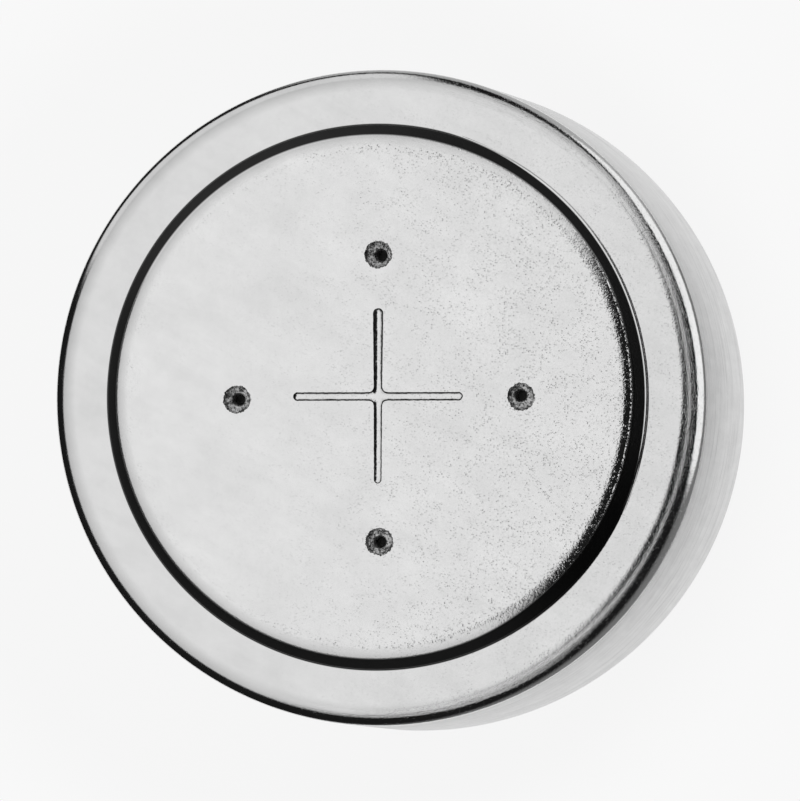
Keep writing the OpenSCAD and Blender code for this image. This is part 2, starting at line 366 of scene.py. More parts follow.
def buildPlate(name, values):
    material, tree, shader, place = newMaterial(name)
    mottle = useGroup(tree, softMottle, {
        "Position": place, "Patches Per Metre": values["patchesPerMetre"]})
    grain = useGroup(tree, etchedGrain, {
        "Position": place, "Grain Per Metre": values["grainPerMetre"], "Pits": values["pits"]})
    lines = useGroup(tree, drawnLines, {
        "Position": place, "Lines Per Metre": values["linesPerMetre"], "Length": values["lineLength"]})
    streaks = useGroup(tree, drawnLines, {
        "Position": place, "Lines Per Metre": values["streaksPerMetre"], "Length": values["streakLength"]})
    blotches = useGroup(tree, softMottle, {
        "Position": vectorCalc(tree, "MULTIPLY", place, values["wallPatchSquash"]),
        "Patches Per Metre": values["wallPatchesPerMetre"]})
    flat = vectorCalc(tree, "MULTIPLY", place, (1.0, 1.0, 0.0))
    radius = vectorCalc(tree, "LENGTH", flat)
    outward = vectorCalc(tree, "NORMALIZE", flat)
    parts = splitVector(tree, place)
    height = parts[2]
    onWall = fade(tree, height, *values["wallBetween"])
    onTop = calc(tree, "GREATER_THAN", height, values["stepFloor"])

    # strong on the side of the axis that this turn points to
    def facing(turnAngle, fades, *levels):
        toward = vectorCalc(tree, "DOT_PRODUCT", outward, flatVector(turnAngle))
        return fade(tree, toward, *fades, *levels)

    # a rise that starts at a radius and stays level past its width
    def burr(start, width, slope):
        risen = calc(tree, "MAXIMUM", minus(tree, radius, start), 0.0)
        return times(tree, calc(tree, "MINIMUM", risen, width), slope)

    # faint marks where the cell was rubbed straight across
    alongRub = flatVector(values["rubTurn"], values["rubAlong"])
    acrossRub = flatVector(values["rubTurn"] + math.pi / 2, values["rubAcross"])
    rub = noise(tree, joinVector(tree, vectorCalc(tree, "DOT_PRODUCT", place, alongRub),
                                 vectorCalc(tree, "DOT_PRODUCT", place, acrossRub), 0.0), 1.0)
    rubbed = minus(tree, fade(tree, rub, *values["rubFades"]), 0.5)
    tone = sumOf(tree, mottle["Tone"], times(tree, rubbed, values["rubShare"]), clamp=True)
    base = mixTone(tree, tone, values["dark"], values["light"])
    # the etched grain is strongest over the right of the raised disc and fainter outside it
    grainShare = times(tree, fade(tree, radius, *values["grainFades"]),
                       fade(tree, parts[0], *values["grainTurns"]))
    grained = multiplyTone(tree, times(tree, grain["Tone"], grainShare), base, values["fineTone"])
    specked = multiplyTone(tree, times(tree, grain["Pit Mask"], grainShare), grained, values["speck"])
    onRing = calc(tree, "GREATER_THAN", radius, values["stepTo"])
    ringed = multiplyTone(tree, onRing, specked, values["ringTone"])
    # the drawn side of the step is dull; its colour is painted near black, a painted dark reflection that
    # ends sooner at its foot on one side
    brightSide = facing(values["brightSideTurn"], values["brightSideFades"])
    earlier = facing(values["earlierTurn"], values["earlierFades"], 0.0, values["earlierBy"])
    stepStart = minus(tree, values["stepFrom"], earlier)
    stepEnd = minus(tree, values["stepTo"], times(tree, brightSide, values["brightSideShadeCut"]))
    edge = values["stepSoft"]
    onStep = times(tree, fade(tree, minus(tree, radius, stepStart), -edge, edge),
                   fade(tree, minus(tree, radius, stepEnd), -edge * 0.5, edge * 0.5, 1.0, 0.0))
    onStep = times(tree, onStep, onTop)
    # painted dark reflection on the step's side
    shadedStep = multiplyTone(tree, onStep, ringed, values["stepPaintedShade"])
    # the wall has blotches, drawn lines and a darker band near its top
    walled = multiplyTone(tree, onWall, shadedStep, values["wallTone"])
    blotched = multiplyTone(tree, times(tree, blotches["Tone"], onWall), walled, values["wallPatchTone"])
    lined = multiplyTone(tree, times(tree, lines["Tone"], onWall), blotched, values["lineTone"])
    # a narrow band round the wall near its top is made darker
    offDarkBand = calc(tree, "ABSOLUTE", minus(tree, height, values["darkBandHeight"]))
    onDarkBand = times(tree, fade(tree, offDarkBand, 0.0, values["darkBandSoft"], 1.0, 0.0), onWall)
    darkBanded = multiplyTone(tree, onDarkBand, lined, values["darkBandTone"])
    fill(tree, shader.inputs["Base Color"], darkBanded)
    fill(tree, shader.inputs["Metallic"], 1.0)
    polished = fade(tree, mottle["Tone"], 0.0, 1.0, values["smoothest"], values["roughest"])
    dulled = fade(tree, onStep, 0.0, 1.0, polished, values["stepRoughness"], "LINEAR")
    fill(tree, shader.inputs["Roughness"], fade(
        tree, onWall, 0.0, 1.0, dulled, values["wallRoughness"], "LINEAR"))
    # the grain's relief swells on the shoulder and thins at its brow
    onShoulder = fade(tree, radius, values["shoulderFrom"], values["shoulderTo"],
                      1.0, values["shoulderGrain"])
    onBrow = fade(tree, radius, values["browFrom"], values["browTo"], 1.0, values["browGrain"])
    deeper = times(tree, times(tree, onShoulder, onBrow), grainShare)
    grainBump = addBump(tree, times(tree, grain["Height"], deeper), values["grainDepth"])
    wallBump = addBump(tree, times(tree, lines["Height"], onWall), values["lineDepth"], grainBump)
    # drawing marks on the outer corner: a faint roll round it, with fine streaks along it
    roll = fade(tree, radius, values["rollFrom"], values["rollTo"], 0.0, values["rollHeight"])
    soft = values["streakSoft"]
    streaked = times(
        tree, fade(tree, radius, values["streaksFrom"] - soft, values["streaksFrom"] + soft),
        fade(tree, radius, values["streaksTo"] - soft, values["streaksTo"] + soft, 1.0, 0.0))
    fineMarks = times(tree, minus(tree, streaks["Height"], 0.5),
                      times(tree, streaked, values["streakDepth"]))
    marked = times(tree, sumOf(tree, roll, fineMarks),
                   facing(values["streakTurn"], values["streakFades"]))
    # burrs that catch the light: one round the step's foot where the painted shade ends sooner, one in
    # crumbs along its brow
    footBurr = times(tree, brightSide, burr(stepEnd, values["burrWidth"], values["burrSlope"]))
    crumbsStart = minus(tree, stepStart, values["crumbsInside"])
    onCrumbs = times(tree, facing(values["brightSideTurn"], values["crumbsFades"]),
                     calc(tree, "LESS_THAN", radius, stepStart))
    crumbs = times(tree, fade(tree, grain["Tone"], *values["crumbsTone"]), onCrumbs)
    browBurr = times(tree, crumbs, burr(crumbsStart, values["crumbsWidth"], values["crumbsSlope"]))
    burrs = times(tree, onTop, sumOf(tree, footBurr, browBurr))
    fill(tree, shader.inputs["Normal"], addBump(tree, sumOf(tree, marked, burrs), 1.0, wallBump))
    return material


# Where the piercing punch tore the plate: duller, darker and rough
punchedFinish = {"dark": (0.09, 0.09, 0.09), "light": (0.60, 0.60, 0.60), "between": (0.65, 1.05),
                 "roughness": 0.5, "grainPerMetre": 36000.0, "grainDepth": 6e-6}
# The steep sides of the stamped groove, painted near black as shade in the groove
shadedGrooveFinish = {"dark": (0.02, 0.02, 0.02), "light": (0.10, 0.10, 0.10), "between": (0.65, 1.05),
                 "roughness": 0.45, "grainPerMetre": 30000.0, "grainDepth": 4e-6}


def buildPunched(name, values):
    material, tree, shader, place = newMaterial(name)
    grain = useGroup(tree, etchedGrain, {
        "Position": place, "Grain Per Metre": values["grainPerMetre"], "Pits": 1.0})
    tone = fade(tree, grain["Height"], *values["between"])
    fill(tree, shader.inputs["Base Color"], mixTone(tree, tone, values["dark"], values["light"]))
    fill(tree, shader.inputs["Metallic"], 1.0)
    fill(tree, shader.inputs["Roughness"], values["roughness"])
    fill(tree, shader.inputs["Normal"], addBump(tree, grain["Height"], values["grainDepth"]))
    return material


# Matt materials of the gasket and of what lies inside the cell, and how their pits show
mattPits = {"pits": 0.6, "shade": 0.5}
mattFinishes = {
    "mouldedNylon": {"dark": (0.76, 0.77, 0.75), "light": (0.86, 0.87, 0.85), "roughness": (0.38, 0.5),
                     "grainPerMetre": 9000.0, "depth": 2e-6, "patchesPerMetre": 1500.0, "metal": 0.0},
    # the diffuser paper's very dark colour is partly its own and partly painted shade, so that it shows
    # black through the air holes
    "diffuserPaper": {"dark": (0.06, 0.06, 0.058), "light": (0.11, 0.11, 0.107), "roughness": (0.85, 0.95),
                      "grainPerMetre": 12000.0, "depth": 1e-5, "patchesPerMetre": 2500.0, "metal": 0.0},
    "porousFilm": {"dark": (0.88, 0.88, 0.88), "light": (0.95, 0.95, 0.95), "roughness": (0.55, 0.7),
                   "grainPerMetre": 30000.0, "depth": 2e-6, "patchesPerMetre": 1500.0, "metal": 0.0},
    "pressedCarbon": {"dark": (0.012, 0.012, 0.012), "light": (0.06, 0.06, 0.06), "roughness": (0.6, 0.85),
                      "grainPerMetre": 16000.0, "depth": 1e-5, "patchesPerMetre": 3000.0, "metal": 0.0},
    "nickelScreen": {"dark": (0.50, 0.49, 0.46), "light": (0.68, 0.67, 0.63), "roughness": (0.28, 0.42),
                     "grainPerMetre": 20000.0, "depth": 4e-6, "patchesPerMetre": 2000.0, "metal": 1.0},
    "separatorSheet": {"dark": (0.80, 0.77, 0.69), "light": (0.92, 0.90, 0.84), "roughness": (0.75, 0.9),
                       "grainPerMetre": 14000.0, "depth": 8e-6, "patchesPerMetre": 2500.0, "metal": 0.0},
    "zincGel": {"dark": (0.22, 0.23, 0.25), "light": (0.50, 0.51, 0.53), "roughness": (0.3, 0.55),
                "grainPerMetre": 7000.0, "depth": 2e-5, "patchesPerMetre": 5000.0, "metal": 0.6},
}


def buildMatt(name):
    values = mattFinishes[name]
    material, tree, shader, place = newMaterial(name)
    mottle = useGroup(tree, softMottle, {
        "Position": place, "Patches Per Metre": values["patchesPerMetre"]})
    grain = useGroup(tree, etchedGrain, {
        "Position": place, "Grain Per Metre": values["grainPerMetre"], "Pits": mattPits["pits"]})
    tone = minus(tree, mottle["Tone"], times(tree, grain["Pit Mask"], mattPits["shade"]), clamp=True)
    fill(tree, shader.inputs["Base Color"], mixTone(tree, tone, values["dark"], values["light"]))
    fill(tree, shader.inputs["Metallic"], values["metal"])
    fill(tree, shader.inputs["Roughness"], fade(tree, mottle["Tone"], 0.0, 1.0, *values["roughness"]))
    fill(tree, shader.inputs["Normal"], addBump(tree, grain["Height"], values["depth"]))
    return material


nickelPlate = buildPlate("satinNickelPlate", plateFinish)
punchedPlate = buildPunched("punchedPlate", punchedFinish)
shadedGrooveSides = buildPunched("shadedGrooveSides", shadedGrooveFinish)
print("finishes made")

# The can: section sizes in millimetres
can = {
    "radius": 3.95, "height": 5.4, "wall": 0.2, "step": 0.24,
    "discRadius": 3.28, "shoulderRadius": 0.25, "slope": math.radians(43.5), "slopeEdge": 0.04,
    "riser": 0.05, "riserLean": 0.01, "footRadius": 0.02,
    "crownStart": 1.6, "crownRadius": 60.0, "browDrop": 0.012,
    "cornerRadius": 0.3, "crimpRadius": 0.75, "crimpFoot": 0.65, "mouthRadius": 3.2, "edgeRadius": 0.05,
    "pocketFoot": 0.16, "insideCorner": 0.1, "roofCorner": 0.08, "crimpFit": 0.99, "stepsRound": 288,
}
# The air holes and their dimples
airHoles = {
    "count": 4, "pitchRadius": 1.725, "turn": math.radians(0.4), "shiftX": 0.054, "shiftY": -0.02,
    "rimRadius": 0.168, "floorRadius": 0.138, "depth": 0.045, "coreRadius": 0.070, "coreEnd": 0.048,
    "top": 0.12, "flare": 0.4, "seat": 1.25, "seatEdge": 0.012, "coreDrop": 0.03, "through": 1.6,
    "ragged": 0.030, "raggedPerMm": 38.0, "spacing": 0.012, "stepsRound": 88, "seed": 4.0,
    "coreShifts": ((-0.012, 0.018, 0), (0.03, -0.01, 0), (0.02, 0.0, 0), (0.0, 0.0, 0)),
}
# The plus mark's groove: the punch sank a little deeper at the top
plus = {
    "halfLength": 1.03, "uprightExtra": 0.02, "halfWidth": 0.051, "topWiden": 0.12, "depth": 0.034,
    "roundness": 3.4, "topRoundness": 2.7, "steepness": 0.76, "tilt": 0.009,
    "shiftX": 0.044, "blend": 0.11, "wander": 0.0085, "wanderPerMm": 20.0, "steps": 150,
    "middleShare": 0.3, "middleLength": 0.11, "tipShare": 0.8, "tipLength": 0.14, "margin": 0.06,
    "sheetHalfWidth": 0.1, "sheetTop": 0.1, "lid": 0.3, "roundnessOver": 0.3,
}


# One named input for each plain size of a piece: discRadius becomes Disc Radius
def sizeInputs(values, prefix=""):
    inputs = []
    for key, value in values.items():
        if not isinstance(value, tuple):
            words = "".join(" " + letter if letter.isupper() else letter for letter in key)
            inputs.append((prefix + words.title(), whole if isinstance(value, int) else number, value))
    return inputs


def canSection(tree, given):
    radius, height, wall = given["Radius"], given["Height"], given["Wall"]
    ringHeight = minus(tree, height, given["Step"])
    foot = given["Disc Radius"]
    riserRadius = minus(tree, foot, given["Riser Lean"])
    riserHeight = sumOf(tree, ringHeight, given["Riser"])
    browHeight = minus(tree, height, given["Brow Drop"])
    # where the sloped side would meet the crown if the shoulder were sharp
    run = calc(tree, "DIVIDE", minus(tree, browHeight, riserHeight), calc(tree, "TANGENT", given["Slope"]))
    browRadius = minus(tree, riserRadius, run)
    shelf = minus(tree, ringHeight, wall)
    roof = minus(tree, height, wall)
    pocket = minus(tree, foot, wall)
    insideRadius = minus(tree, radius, wall)
    crimpFoot, mouth = given["Crimp Foot"], given["Mouth Radius"]
    shelfFoot = sumOf(tree, crimpFoot, wall)
    insideCrimp = times(tree, minus(tree, given["Crimp Radius"], wall), given["Crimp Fit"])
    return halfSection(tree, [
        (0.0, height, 0.0, 1),
        (given["Crown Start"], height, given["Crown Radius"], 16),
        (browRadius, browHeight, given["Shoulder Radius"], 30),
        (riserRadius, riserHeight, given["Slope Edge"], 10),
        (foot, ringHeight, given["Foot Radius"], 10),
        (radius, ringHeight, given["Corner Radius"], 40),
        (radius, crimpFoot, given["Crimp Radius"], 40),
        (mouth, crimpFoot, given["Edge Radius"], 8),
        (mouth, shelfFoot, 0.0, 1),
        (insideRadius, shelfFoot, insideCrimp, 12),
        (insideRadius, shelf, given["Inside Corner"], 5),
        (pocket, shelf, given["Pocket Foot"], 8),
        (pocket, roof, given["Roof Corner"], 4),
        (0.0, roof, 0.0, 1),
    ])


def storeVector(tree, geometry, name, value):
    return useNode(tree, "GeometryNodeStoreNamedAttribute", {
        "Geometry": geometry, "Name": name, "Value": value},
        data_type="FLOAT_VECTOR", domain="POINT").outputs[0]


def readVector(tree, name):
    return useNode(tree, "GeometryNodeInputNamedAttribute", {"Name": name},
                   data_type="FLOAT_VECTOR").outputs[0]


def scaleVector(tree, vector, share):
    return useNode(tree, "ShaderNodeVectorMath", {0: vector, "Scale": share}, operation="SCALE").outputs[0]


# One ragged punch for each hole, standing at the disc's height
def airHoleCutters(tree, given):
    rim, floor, core = given["Hole Rim Radius"], given["Hole Floor Radius"], given["Hole Core Radius"]
    depth, top, flare = given["Hole Depth"], given["Hole Top"], given["Hole Flare"]
    slope = minus(tree, rim, floor)
    seat = times(tree, depth, times(tree, given["Hole Seat"], -1.0))
    through = times(tree, given["Wall"], times(tree, given["Hole Through"], -1.0))
    section = halfSection(tree, [
        (0.0, top, 0.0, 1),
        (sumOf(tree, rim, slope), top, 0.0, 1),
        (sumOf(tree, rim, times(tree, slope, flare)), times(tree, depth, flare), 0.0, 1),
        (floor, times(tree, depth, -1.0), 0.02, 4),
        (sumOf(tree, core, given["Hole Seat Edge"]), seat, 0.01, 3),
        (core, minus(tree, seat, given["Hole Core Drop"]), 0.0, 1),
        (given["Hole Core End"], through, 0.0, 1),
        (0.0, through, 0.0, 1),
    ])
    finer = useNode(tree, "GeometryNodeResampleCurve", {
        "Curve": section, "Length": given["Hole Spacing"]}, mode="LENGTH")
    punch = turn(tree, finer.outputs[0], given["Hole Steps Round"])
    spots = useNode(tree, "GeometryNodeMeshLine", {"Count": given["Hole Count"]})
    index = addNode(tree, "GeometryNodeInputIndex").outputs[0]
    angle = sumOf(tree, given["Hole Turn"],
                  calc(tree, "DIVIDE", times(tree, index, 2 * math.pi), given["Hole Count"]))
    pitch = given["Hole Pitch Radius"]
    spot = joinVector(
        tree, calc(tree, "MULTIPLY_ADD", calc(tree, "COSINE", angle), pitch, given["Hole Shift X"]),
        calc(tree, "MULTIPLY_ADD", calc(tree, "SINE", angle), pitch, given["Hole Shift Y"]),
        given["Height"])
    placed = useNode(tree, "GeometryNodeSetPosition", {"Geometry": spots.outputs[0], "Position": spot})
    here = addNode(tree, "GeometryNodeInputPosition").outputs[0]
    centred = storeVector(tree, placed.outputs[0], "holeCentre", here)
    shifted = storeVector(tree, centred, "coreShift", pickByIndex(tree, "VECTOR", airHoles["coreShifts"]))
    copies = useNode(tree, "GeometryNodeInstanceOnPoints", {"Points": shifted, "Instance": punch})
    real = useNode(tree, "GeometryNodeRealizeInstances", {0: copies.outputs[0]}).outputs[0]
    x, y, z = splitVector(tree, vectorCalc(tree, "SUBTRACT", here, readVector(tree, "holeCentre")))
    distance = vectorCalc(tree, "LENGTH", joinVector(tree, x, y, 0.0))
    crumbled = useNode(tree, "ShaderNodeTexNoise", {
        "Vector": here, "Scale": given["Hole Ragged Per Mm"], "Detail": 3.0, "Roughness": 0.6,
        "W": given["Hole Seed"]}, noise_dimensions="4D")
    spread = vectorCalc(tree, "SUBTRACT", crumbled.outputs["Color"], (0.5, 0.5, 0.5))
    byRim = fade(tree, distance, core, floor, 0.3, 1.0)
    ragged = scaleVector(tree, spread, times(tree, given["Hole Ragged"], times(tree, byRim, 2.0)))
    offCentre = scaleVector(tree, readVector(tree, "coreShift"), fade(tree, distance, core, floor, 1.0, 0.0))
    return useNode(tree, "GeometryNodeSetPosition", {
        "Geometry": real, "Offset": vectorCalc(tree, "ADD", ragged, offCentre)}).outputs[0]


# Maps -1..1 to a length with close steps along the arm's axis and round its end
def stretchSteps(tree, given, value, half):
    share, tipShare = given["Plus Middle Share"], given["Plus Tip Share"]
    middle, tip = given["Plus Middle Length"], given["Plus Tip Length"]
    size = calc(tree, "ABSOLUTE", value)
    rest = minus(tree, half, minus(tree, sumOf(tree, middle, tip), given["Plus Margin"]))
    near = fade(tree, size, 0.0, share, 0.0, middle, "LINEAR")
    along = fade(tree, size, share, tipShare, 0.0, rest, "LINEAR")
    end = fade(tree, size, tipShare, 1.0, 0.0, tip, "LINEAR")
    return times(tree, calc(tree, "SIGN", value), sumOf(tree, near, sumOf(tree, along, end)))


# The groove's floor as a fine sheet over the two arms, closed above into a solid
def plusCutter(tree, given):
    half, width, depth = given["Plus Half Length"], given["Plus Half Width"], given["Plus Depth"]
    extra = given["Plus Upright Extra"]
    points = sumOf(tree, given["Plus Steps"], 1)
    sheet = useNode(tree, "GeometryNodeMeshGrid", {
        "Size X": 2.0, "Size Y": 2.0, "Vertices X": points, "Vertices Y": points})
    here = addNode(tree, "GeometryNodeInputPosition").outputs[0]
    x, y, z = splitVector(tree, here)
    spaced = useNode(tree, "GeometryNodeSetPosition", {
        "Geometry": sheet.outputs["Mesh"],
        "Position": joinVector(tree, stretchSteps(tree, given, x, half),
                               stretchSteps(tree, given, y, sumOf(tree, half, extra)), 0.0)}).outputs[0]
    farX = calc(tree, "ABSOLUTE", x)
    farY = calc(tree, "ABSOLUTE", y)
    offArms = calc(tree, "GREATER_THAN", calc(tree, "MINIMUM", farX, farY), given["Plus Sheet Half Width"])
    cross = useNode(tree, "GeometryNodeDeleteGeometry", {"Geometry": spaced, "Selection": offArms},
                    domain="FACE", mode="ALL").outputs[0]

    def past(far, armEnd):
        return calc(tree, "MAXIMUM", minus(tree, far, armEnd), 0.0)

    end = minus(tree, half, width)
    levelArm = vectorCalc(tree, "LENGTH", joinVector(tree, past(farX, end), y, 0.0))
    upright = vectorCalc(tree, "LENGTH", joinVector(tree, x, past(farY, sumOf(tree, end, extra)), 0.0))
    line = calc(tree, "SMOOTH_MIN", levelArm, upright, given["Plus Blend"])
    waver = minus(tree, noise(tree, here, given["Plus Wander Per Mm"], 3.0, 0.6), 0.5)
    wander = times(tree, waver, times(tree, given["Plus Wander"], 2.0))
    widening = times(tree, fade(tree, y, 0.0, half), given["Plus Top Widen"])
    wider = times(tree, width, sumOf(tree, 1.0, widening))
    ratio = calc(tree, "DIVIDE", sumOf(tree, calc(tree, "MAXIMUM", line, 0.0), wander), wider)
    roundness = fade(tree, y, 0.0, given["Plus Roundness Over"], given["Plus Roundness"],
                     given["Plus Top Roundness"])
    rise = times(tree, depth, calc(tree, "POWER", calc(tree, "MAXIMUM", ratio, 0.0), roundness))
    bottom = calc(tree, "MULTIPLY_ADD", y, times(tree, given["Plus Tilt"], -1.0), times(tree, depth, -1.0))
    height = calc(tree, "MINIMUM", sumOf(tree, rise, bottom), given["Plus Sheet Top"])
    floor = useNode(tree, "GeometryNodeSetPosition", {
        "Geometry": cross, "Position": joinVector(tree, sumOf(tree, x, given["Plus Shift X"]), y,
                                                  sumOf(tree, height, given["Height"]))}).outputs[0]
    lid = useNode(tree, "GeometryNodeExtrudeMesh", {
        "Mesh": floor, "Offset": (0.0, 0.0, 1.0), "Offset Scale": given["Plus Lid"], "Individual": False},
        mode="FACES").outputs[0]
    both = addNode(tree, "GeometryNodeJoinGeometry")
    fill(tree, both.inputs[0], lid)
    fill(tree, both.inputs[0], useNode(tree, "GeometryNodeFlipFaces", {"Mesh": floor}).outputs[0])
    return useNode(tree, "GeometryNodeMergeByDistance", {
        "Geometry": both.outputs[0], "Distance": weldDistance}).outputs[0]


def buildCanTree():
    finishes = [("Plate", paint, None), ("Punched", paint, None), ("Shaded Groove", paint, None)]
    sizes = sizeInputs(can) + sizeInputs(airHoles, "Hole ") + sizeInputs(plus, "Plus ")
    tree, given, result = newGroup("steelCan", "GeometryNodeTree", sizes + finishes, [("Mesh", shape)])
    body = setMaterial(tree, turn(tree, canSection(tree, given), given["Steps Round"]), given["Plate"])
    punches = setMaterial(tree, airHoleCutters(tree, given), given["Punched"])
    groove = setMaterial(tree, plusCutter(tree, given), given["Plate"])
    # the groove's steep sides get the near-black finish: painted shade in the groove
    upright = splitVector(tree, addNode(tree, "GeometryNodeInputNormal").outputs[0])[2]
    steep = calc(tree, "LESS_THAN", calc(tree, "ABSOLUTE", upright), given["Plus Steepness"])
    groove = useNode(tree, "GeometryNodeSetMaterial", {
        "Geometry": groove, "Selection": steep, "Material": given["Shaded Groove"]}).outputs[0]
    cut = addNode(tree, "GeometryNodeMeshBoolean", operation="DIFFERENCE", solver="EXACT")
    fill(tree, cut.inputs[0], body)
    fill(tree, cut.inputs[1], punches)
    fill(tree, cut.inputs[1], groove)
    fill(tree, result["Mesh"], finishMesh(tree, cut.outputs["Mesh"], cut.outputs["Intersecting Edges"]))
    return tree


canShell = bakePiece("can_shell", buildCanTree(), {
    "Plate": nickelPlate, "Punched": punchedPlate, "Shaded Groove": shadedGrooveSides})
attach(canShell, "root")
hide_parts("cathode_can")


def buildSimpleTree(name, corners, closed):
    tree, given, result = newGroup(name, "GeometryNodeTree", [
        ("Steps Round", whole, 192), ("Finish", paint, None)], [("Mesh", shape)])
    body = turn(tree, halfSection(tree, corners, closed), given["Steps Round"], closed)
    fill(tree, result["Mesh"], finishMesh(tree, setMaterial(tree, body, given["Finish"])))
    return tree


# The moulded gasket, in millimetres
gasket = {"outside": 3.75, "top": 4.44, "foot": 4.22, "footInside": 3.2, "skirt": 3.5, "ledge": 1.1,
          "bend": 0.3, "crimpBend": 0.549, "crimpInside": 0.85, "lipOutside": 3.2, "lipInside": 2.97,
          "lipEnd": 0.57, "lipRound": 0.05, "lipInsideRound": 0.04}
gasketTree = buildSimpleTree("mouldedGasket", [
    (gasket["footInside"], gasket["top"], 0.0, 1),
    (gasket["outside"], gasket["top"], 0.0, 1),
    (gasket["outside"], gasket["crimpInside"], gasket["crimpBend"], 16),
    (gasket["lipOutside"], gasket["crimpInside"], 0.0, 1),
    (gasket["lipOutside"], gasket["lipEnd"], gasket["lipRound"], 8),
    (gasket["lipInside"], gasket["lipEnd"], gasket["lipInsideRound"], 8),
    (gasket["lipInside"], gasket["ledge"], 0.0, 1),
    (gasket["skirt"], gasket["ledge"], gasket["bend"], 12),
    (gasket["skirt"], gasket["foot"], 0.0, 1),
    (gasket["footInside"], gasket["foot"], 0.0, 1),
], True)
gasketRing = bakePiece("gasket_ring", gasketTree, {"Finish": buildMatt("mouldedNylon")})
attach(gasketRing, "root")
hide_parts("insulator_gasket")

# The drawn cap, in millimetres
cap = {"neck": 2.95, "skirt": 3.5, "wall": 0.2, "ledge": 1.1, "rim": 4.22, "neckEdge": 0.2,
       "bend": 0.3, "insideBend": 0.05, "neckRound": 0.25, "shoulderRound": 0.1, "rimRound": 0.03}
capFinish = dict(
    plateFinish, linesPerMetre=16000.0, lineDepth=1e-6, wallBetween=(0.0, 0.0002, 0.0, 1.0), pits=0.3,
    dark=(0.72, 0.715, 0.70), light=(0.80, 0.795, 0.78))
capTree = buildSimpleTree("drawnCap", [
    (0.0, cap["wall"], 0.0, 1),
    (cap["neck"] - cap["wall"], cap["wall"], cap["insideBend"], 4),
    (cap["neck"] - cap["wall"], cap["ledge"] + cap["wall"], cap["neckRound"], 8),
    (cap["skirt"] - cap["wall"], cap["ledge"] + cap["wall"], cap["shoulderRound"], 6),
    (cap["skirt"] - cap["wall"], cap["rim"], cap["rimRound"], 3),
    (cap["skirt"], cap["rim"], cap["rimRound"], 3),
    (cap["skirt"], cap["ledge"], cap["bend"], 12),
    (cap["neck"], cap["ledge"], cap["insideBend"], 4),
    (cap["neck"], cap["neckEdge"] + 0.02, 0.0, 1),
    (cap["neck"], 0.0, cap["neckEdge"], 20),
    (cap["neck"] - cap["neckEdge"] - 0.03, 0.0, 0.0, 1),
    (0.0, 0.0, 0.0, 1),
], False)
capShell = bakePiece("cap_shell", capTree, {"Finish": buildPlate("cladCapMetal", capFinish)})
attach(capShell, "root")
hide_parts("anode_cap")

# What the cell holds keeps its CAD mesh and gets its finish
insideFinishes = {
    "air_diffuser": "diffuserPaper", "barrier_film": "porousFilm", "catalyst_layer": "pressedCarbon",
    "current_collector": "nickelScreen", "separator": "separatorSheet", "zinc_anode": "zincGel",
}
for nodeName, finishName in insideFinishes.items():
    node = nodes[nodeName]
    node.data.materials.clear()
    node.data.materials.append(buildMatt(finishName))
print("pieces placed")

# The floor is a small pale disc. The camera and the metal see it nearly white, with a soft shadow on it.
floorValues = {"radius": 0.0066, "shiftX": -0.0014, "white": 0.94, "paper": 0.9, "shadowShare": 0.05,
               "fadeStart": 0.0048, "level": -0.00002, "steps": 96, "fibresPerMetre": 3000.0}


def buildFloor(values):
    mesh = bpy.data.meshes.new("floor")
    steps = values["steps"]
    points = [(values["shiftX"], 0.0, values["level"])]
    faces = []
    for k in range(steps):
        angle = 2 * math.pi * k / steps
        points.append((values["shiftX"] + values["radius"] * math.cos(angle),
                       values["radius"] * math.sin(angle), values["level"]))
        faces.append((0, k + 1, (k + 1) % steps + 1))
    mesh.from_pydata(points, [], faces)
    floor = bpy.data.objects.new("floor", mesh)
    scene.collection.objects.link(floor)
    material = bpy.data.materials.new("paleFloor")
    material.use_nodes = True
    tree = material.node_tree
    tree.nodes.clear()
    place = addNode(tree, "ShaderNodeTexCoord").outputs["Object"]
    distance = vectorCalc(tree, "DISTANCE", place, (values["shiftX"], 0.0, 0.0))
    fibre = noise(tree, place, values["fibresPerMetre"])
    paper = mixTone(tree, fibre, (values["paper"] * 0.98,) * 3, (values["paper"],) * 3)
    matt = useNode(tree, "ShaderNodeBsdfDiffuse", {"Color": paper})
    white = useNode(tree, "ShaderNodeEmission", {"Color": (values["white"],) * 3 + (1,), "Strength": 1.0})
    path = addNode(tree, "ShaderNodeLightPath").outputs
    seen = calc(tree, "MAXIMUM", path["Is Camera Ray"], calc(
        tree, "MAXIMUM", path["Is Glossy Ray"], path["Is Transmission Ray"]))
    share = fade(tree, distance, values["fadeStart"], values["radius"] * 0.95,
                 1 - values["shadowShare"], 1.0)
    blend = useNode(tree, "ShaderNodeMixShader", {0: times(tree, seen, share)})
    fill(tree, blend.inputs[1], matt.outputs[0])
    fill(tree, blend.inputs[2], white.outputs[0])
    output = addNode(tree, "ShaderNodeOutputMaterial")
    fill(tree, output.inputs["Surface"], blend.outputs[0])
    mesh.materials.append(material)


buildFloor(floorValues)

